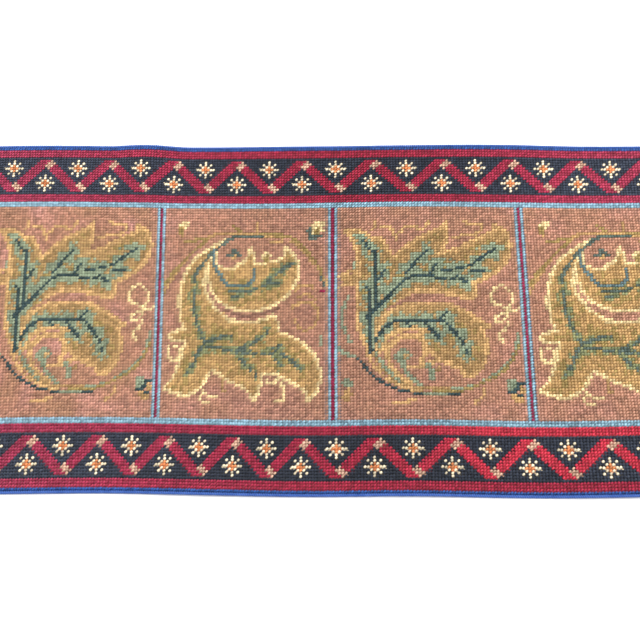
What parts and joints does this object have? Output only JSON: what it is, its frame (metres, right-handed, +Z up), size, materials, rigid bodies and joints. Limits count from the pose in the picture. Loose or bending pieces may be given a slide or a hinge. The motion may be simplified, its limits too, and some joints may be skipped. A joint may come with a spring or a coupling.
{
  "type": "needlepoint table runner",
  "caption": "Needlepoint table runner with acanthus panels in a zigzag flower border and a whipped blue edge.",
  "frame": {"origin": "middle of the runner's box, on the table under it", "axes": "+X along the long side, +Y to the far long edge, +Z up out of the stitched face"},
  "size_m": [0.999, 0.3226, 0.0088],
  "materials": {
    "stitched_wool": "matte wool tent stitches",
    "edge_wool": "matte whipped wool"
  },
  "bodies": {
    "root": {"stitched_canvas": "stitched_wool", "edge_far": "edge_wool", "edge_near": "edge_wool", "edge_left": "edge_wool", "edge_right": "edge_wool"}
  },
  "joints": []
}
